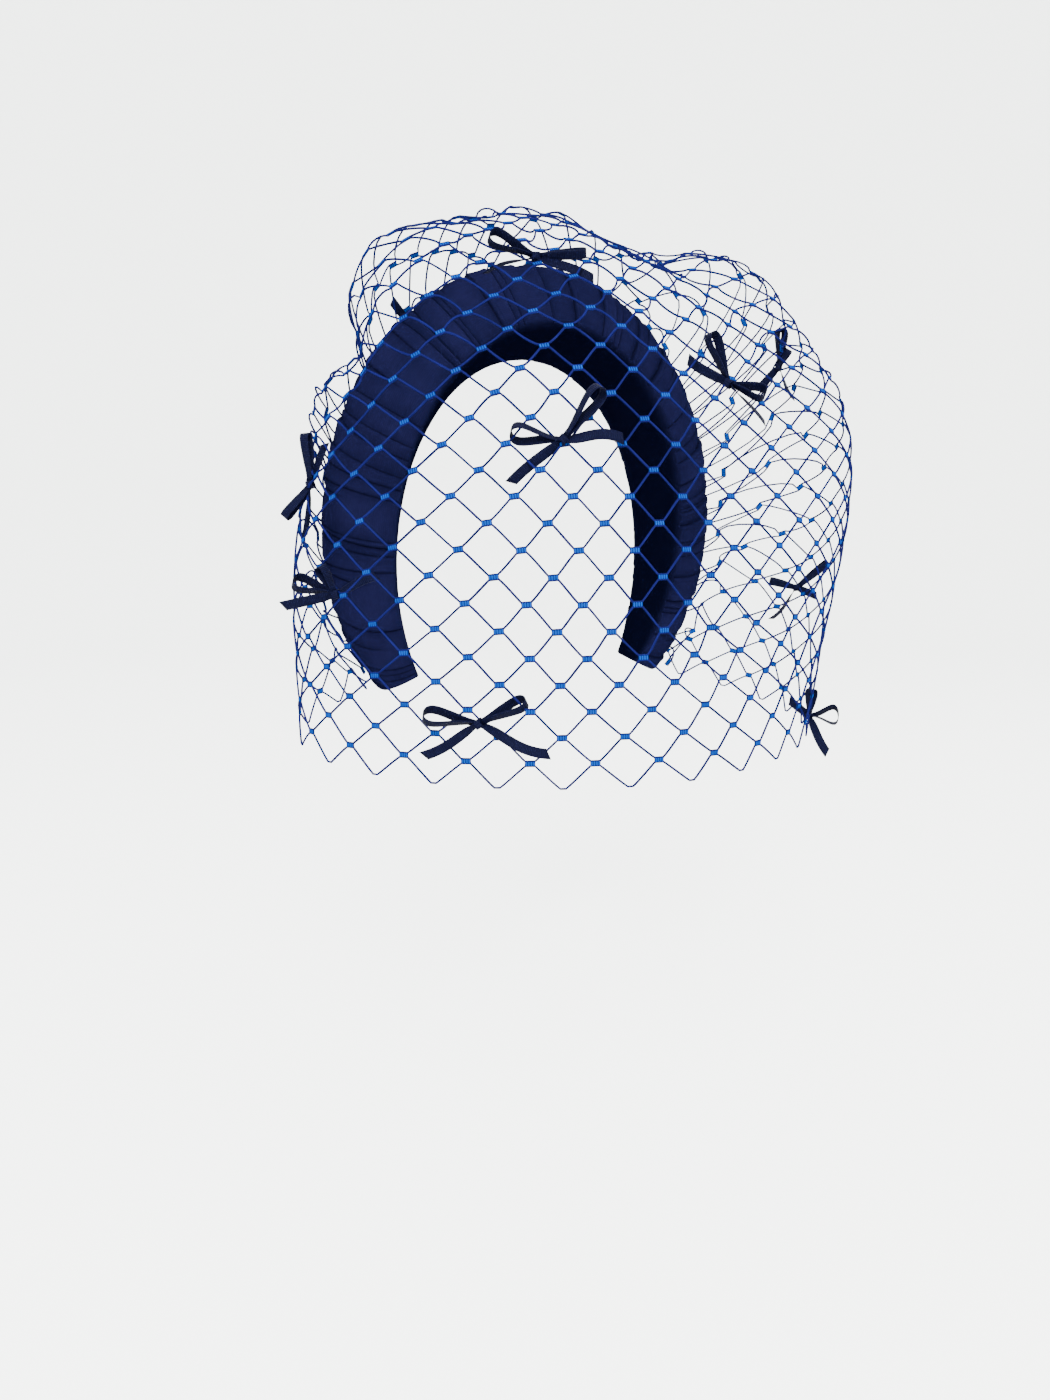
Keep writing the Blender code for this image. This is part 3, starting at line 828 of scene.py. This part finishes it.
def strand_points(start, leaving, end, arriving, middle):
    """A thread between two crossings, with a slight bend as it leaves each of them."""
    chord = (start + end) * 0.5 + (leaving - arriving) * 0.125
    points = []
    for piece in range(1, THREAD_PIECES):
        t = piece / THREAD_PIECES
        point = (
            start * (2 * t ** 3 - 3 * t ** 2 + 1)
            + leaving * (t ** 3 - 2 * t ** 2 + t)
            + end * (3 * t ** 2 - 2 * t ** 3)
            + arriving * (t ** 3 - t ** 2)
        )
        points.append(point + (middle - chord) * (4.0 * t * (1.0 - t)))
    return points


def heading_point(arc, turn_aside=0.0):
    """A place on the cord that gathers the veil along the back of the band."""
    return band_point(arc, HEADING_TURN + turn_aside, CLEARANCE + HEADING_RADIUS)


def thread_runs(thread):
    """Point lists of one zigzag thread, split where it runs past the sewn edge."""
    runs = []
    run = []
    last = 2 * LAST_COLUMN
    for half_column in range(-last, last + 1):
        upper = (half_column + thread) % 2 == 0
        half_row = thread if upper else thread + 1
        here = crossing(half_column, half_row)
        if here:
            run += [here.end(-1.0, upper), here.end(1.0, upper)]
        if half_column == last:
            break
        next_upper = not upper
        next_row = thread if next_upper else thread + 1
        there = crossing(half_column + 1, next_row)
        middle = mesh_point(half_column * 0.5 + 0.25, thread * 0.5 + 0.25)
        if here and there:
            slack = SLACK_DEPTH * looseness(half_column * 0.5 + 0.25, thread * 0.5 + 0.25)
            middle = middle + drifting(middle * SLACK_SCALE) * slack
        if here and there:
            start, end = here.end(1.0, upper), there.end(-1.0, next_upper)
            heading = (end - start).normalized()
            leaving = (here.sideways * THREAD_TURN + heading) * THREAD_BOW
            arriving = (there.sideways * THREAD_TURN + heading) * THREAD_BOW
            run += strand_points(start, leaving, end, arriving, middle)
            continue
        if here or there:
            inner = (half_column * 0.5, half_row * 0.5) if here else (half_column * 0.5 + 0.5, next_row * 0.5)
            outer = (half_column * 0.5 + 0.5, next_row * 0.5) if here else (half_column * 0.5, half_row * 0.5)
            rim = edge_crossing(inner, outer)
            tail = []
            for piece in range(1, THREAD_PIECES):
                t = piece / (THREAD_PIECES - 1)
                tail.append(mesh_point(inner[0] + (rim[0] - inner[0]) * t, inner[1] + (rim[1] - inner[1]) * t))
            if abs(rim[0]) < LAST_COLUMN - 0.05:
                tail.append(heading_point(fall_value(rim[0], "band_arc")))
            if here:
                runs.append(run + tail)
                run = []
            else:
                run = list(reversed(tail))
    if len(run) > 1:
        runs.append(run)
    return [points for points in runs if len(points) > 1]


def curve_piece(name, runs, radius, material, resolution=1, closed=False):
    """Round threads along lists of points, as one mesh."""
    curve = bpy.data.curves.new(name, "CURVE")
    curve.dimensions = "3D"
    curve.bevel_depth = radius
    curve.bevel_resolution = resolution
    curve.use_fill_caps = True
    for run in runs:
        spline = curve.splines.new("POLY")
        spline.points.add(len(run) - 1)
        spline.use_cyclic_u = closed
        for point, place in zip(spline.points, run):
            point.co = (*place, 1.0)
    drawn = bpy.data.objects.new(name + "_curve", curve)
    bpy.context.scene.collection.objects.link(drawn)
    bpy.context.view_layer.update()
    mesh = bpy.data.meshes.new_from_object(drawn.evaluated_get(bpy.context.evaluated_depsgraph_get()))
    bpy.data.objects.remove(drawn)
    mesh.name = name
    mesh.shade_smooth()
    mesh.materials.clear()
    mesh.materials.append(material)
    piece = bpy.data.objects.new(name, mesh)
    bpy.context.scene.collection.objects.link(piece)
    return piece


def make_threads(material):
    last_thread = int(2 * max(top_row(column) for column in range(-LAST_COLUMN, LAST_COLUMN + 1))) + 1
    runs = []
    for thread in range(last_thread):
        runs += thread_runs(thread)
    return curve_piece("veil_threads", runs, THREAD_RADIUS, material)


def make_knots(material):
    """Each crossing is bound by a few upright turns of thread, side by side."""
    turns = bmesh.new()
    groove = turns.verts.layers.float.new("groove")
    pitch = 2.0 * (KNOT_HALF_LENGTH - 0.0004) / (KNOT_WRAPS - 1)
    size = Matrix.Diagonal((0.5 * KNOT_WRAP_WIDTH, 0.5 * KNOT_WRAP_DEPTH, KNOT_HALF_HEIGHT, 1.0))
    for wrap in range(KNOT_WRAPS):
        offset = Matrix.Translation(((wrap - 0.5 * (KNOT_WRAPS - 1)) * pitch, 0.0, 0.0))
        turn = bmesh.ops.create_uvsphere(turns, u_segments=8, v_segments=5, radius=1.0, matrix=offset @ size)
        # The sides of each turn, where it meets its neighbours, get painted shade.
        for vert in turn["verts"]:
            aside = abs(vert.co.x - offset.translation.x) / (0.5 * KNOT_WRAP_WIDTH)
            vert[groove] = min(1.0, max(0.0, aside - 0.35) * 2.2)
    turns.faces.sort(key=lambda face: face.calc_center_median().dot(Vector((1.0, 0.61, 0.37))))
    one_knot = bpy.data.meshes.new("one_knot")
    turns.to_mesh(one_knot)
    turns.free()
    bm = bmesh.new()
    for place in CROSSINGS.values():
        if place is None or place.is_hem:
            continue
        sideways = place.sideways * place.fullness
        axes = Matrix((sideways, -place.outward, place.rising)).transposed().to_4x4()
        knot = one_knot.copy()
        knot.transform(Matrix.Translation(place.centre) @ axes)
        bm.from_mesh(knot)
        bpy.data.meshes.remove(knot)
    bpy.data.meshes.remove(one_knot)
    return place_object("veil_knots", bm, material)


def ribbon_grid(bm, path, widths, closed=False):
    """A ribbon along a path; widths gives its crosswise direction at each point."""
    layer = bm.loops.layers.uv.get("ribbon") or bm.loops.layers.uv.new("ribbon")
    along = [0.0]
    for before, after in zip(path, path[1:]):
        along.append(along[-1] + (after - before).length)
    count = len(path) - 1
    made = bmesh.ops.create_grid(bm, x_segments=count, y_segments=4, size=1.0)["verts"]
    places = {}
    for vert in made:
        places[vert] = (round((vert.co.x + 1.0) * 0.5 * count), vert.co.y * 0.5)
    for face in {face for vert in made for face in vert.link_faces}:
        for loop in face.loops:
            index, side = places[loop.vert]
            loop[layer].uv = (along[index], side * RIBBON_WIDTH)
    for vert, (index, side) in places.items():
        vert.co = path[index] + widths[index] * (side * RIBBON_WIDTH)
    if closed:
        bmesh.ops.remove_doubles(bm, verts=made, dist=0.00002)


def loop_strip(bm, loop):
    """One loop of a bow: out from the knot, round, and back, leaning away from the face of the bow."""
    angle = math.radians(loop.way)
    outwards = Vector((math.cos(angle), math.sin(angle), 0.0))
    across = Vector((-math.sin(angle), math.cos(angle), 0.0))
    up = Vector((0.0, 0.0, 1.0))
    lean = math.radians(loop.lean)
    spread_way = across * math.cos(lean) + up * math.sin(lean)
    path = []
    widths = []
    steps = 26
    for step in range(steps + 1):
        t = step / steps
        swing = math.sin(math.pi * t)
        reach = 0.0010 + 0.001 * loop.reach * swing ** 0.85
        spread = math.sin(2.0 * math.pi * t) * (0.30 + 0.70 * swing)
        path.append(outwards * reach - spread_way * (0.0005 * loop.opening * spread) + up * 0.0012)
        turned = lean + math.radians(LOOP_TWIST) * math.cos(math.pi * t)
        width_way = up * math.cos(turned) - across * math.sin(turned)
        widths.append(width_way * (0.66 + 0.34 * min(1.0, swing * 3.0)))
    ribbon_grid(bm, path, widths)


def tail_strip(bm, tail):
    """One tail of a bow: nearly straight, turned a little on edge, cut on a slant."""
    up = Vector((0.0, 0.0, 1.0))
    path = []
    steps = 14
    for step in range(steps + 1):
        t = step / steps
        angle = math.radians(tail.way + tail.sway * math.sin(math.pi * t))
        reach = 0.0008 + 0.001 * tail.reach * t
        path.append(Vector((math.cos(angle) * reach, math.sin(angle) * reach, 0.0008 + 0.0014 * math.sin(2.6 * t))))
    widths = []
    for index, point in enumerate(path):
        heading = (path[min(index + 1, steps)] - path[max(index - 1, 0)]).normalized()
        t = index / steps
        across = heading.cross(up).normalized()
        twist = math.radians(tail.twist + 40.0 * (1.0 - t) ** 4)
        side = across * math.cos(twist) + up * math.sin(twist)
        slant = heading * (0.55 * t ** 9)
        widths.append((side + slant) * (0.74 + 0.26 * min(1.0, 5.0 * t)))
    ribbon_grid(bm, path, widths)


def knot_strip(bm, way):
    """The turn of ribbon that holds the loops and tails together."""
    angle = math.radians(way)
    along = Vector((math.cos(angle), math.sin(angle), 0.0))
    across = Vector((-math.sin(angle), math.cos(angle), 0.0))
    up = Vector((0.0, 0.0, 1.0))
    path = []
    widths = []
    steps = 24
    for step in range(steps + 1):
        turn = 2.0 * math.pi * step / steps
        point = across * (0.5 * BOW_KNOT_HEIGHT * signed_power(math.cos(turn), 0.8))
        point += up * (0.5 * BOW_KNOT_DEPTH * signed_power(math.sin(turn), 0.8) + 0.0013)
        path.append(point + along * (0.0006 * math.sin(turn)))
        widths.append(along * (BOW_KNOT_LENGTH / RIBBON_WIDTH) * (0.84 + 0.12 * math.cos(2.0 * turn)))
    ribbon_grid(bm, path, widths, closed=True)


def bow_directions(bow):
    """Rightwards, upwards and facing directions of a bow."""
    turn = math.radians(bow.round)
    rise = math.radians(bow.up)
    facing = Vector((math.sin(turn) * math.cos(rise), -math.cos(turn) * math.cos(rise), math.sin(rise)))
    upwards = (Vector((0.0, 0.0, 1.0)) - facing * facing.z).normalized()
    return upwards.cross(facing), upwards, facing


def make_bow(bow, material):
    bm = bmesh.new()
    for loop in bow.loops:
        loop_strip(bm, loop)
    for tail in bow.tails:
        tail_strip(bm, tail)
    knot_strip(bm, 0.5 * (bow.tails[0].way + bow.loops[0].way) + 20.0)
    rightwards, upwards, facing = bow_directions(bow)
    seat = veil_point(bow.column, bow.row)
    for vert in bm.verts:
        local = vert.co.copy()
        vert.co = seat + rightwards * local.x + upwards * local.y + facing * local.z
    ribbon_bow = place_object(bow.name + "_ribbon", bm, material)
    thickness = ribbon_bow.modifiers.new("Ribbon thickness", "SOLIDIFY")
    thickness.thickness = RIBBON_THICKNESS
    thickness.offset = 0.0
    return ribbon_bow


def make_heading(material):
    """The cord that gathers the veil along the back of the band, and the stitches over it."""
    steps = 260
    cord = []
    for step in range(steps + 1):
        arc = HEADING_REACH * (2.0 * step / steps - 1.0)
        wander = 1.2 * noise.noise(Vector((arc * 30.0, 0.0, 5.0)))
        cord.append(heading_point(arc, wander))
    runs = [cord]
    count = int(2.0 * HEADING_REACH * BAND_HALF_LENGTH / STITCH_SPACING)
    for stitch in range(count + 1):
        arc = HEADING_REACH * (2.0 * stitch / count - 1.0)
        lean = 0.004 * noise.noise(Vector((stitch * 1.7, 3.0, 0.0)))
        run = []
        for piece in range(5):
            part = piece / 4.0 - 0.5
            rise = HEADING_RADIUS * 2.2 * math.cos(math.pi * part)
            run.append(band_point(arc + lean * part, HEADING_TURN + 9.0 * part, rise))
        runs.append(run)
    return curve_piece("veil_heading", runs, HEADING_RADIUS, material)


def dress(piece, slot, *nodes):
    """The piece rides on the part and stands for the plain solids it covers."""
    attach(piece, "root")
    if nodes:
        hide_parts(*nodes)


make_camera()
make_room()

band = make_band(cloth_finish())
dress(band, "navy_band_cloth", "padded_band")

threads = make_threads(thread_finish("blue_veil_thread", THREAD_DARK, THREAD_BLUE))
dress(threads, "blue_veil_thread", "veil_net")
# The knot colours carry painted sheen besides the knots' own brighter blue.
knots = make_knots(thread_finish("bright_knot_thread", KNOT_DARK_WITH_SHEEN, KNOT_BLUE_WITH_SHEEN))
dress(knots, "blue_veil_thread")
heading = make_heading(thread_finish("navy_heading_thread", THREAD_DARK, THREAD_BLUE))
dress(heading, "blue_veil_thread")

ribbon = ribbon_finish()
for bow in BOWS:
    dress(make_bow(bow, ribbon), "navy_ribbon", bow.name)
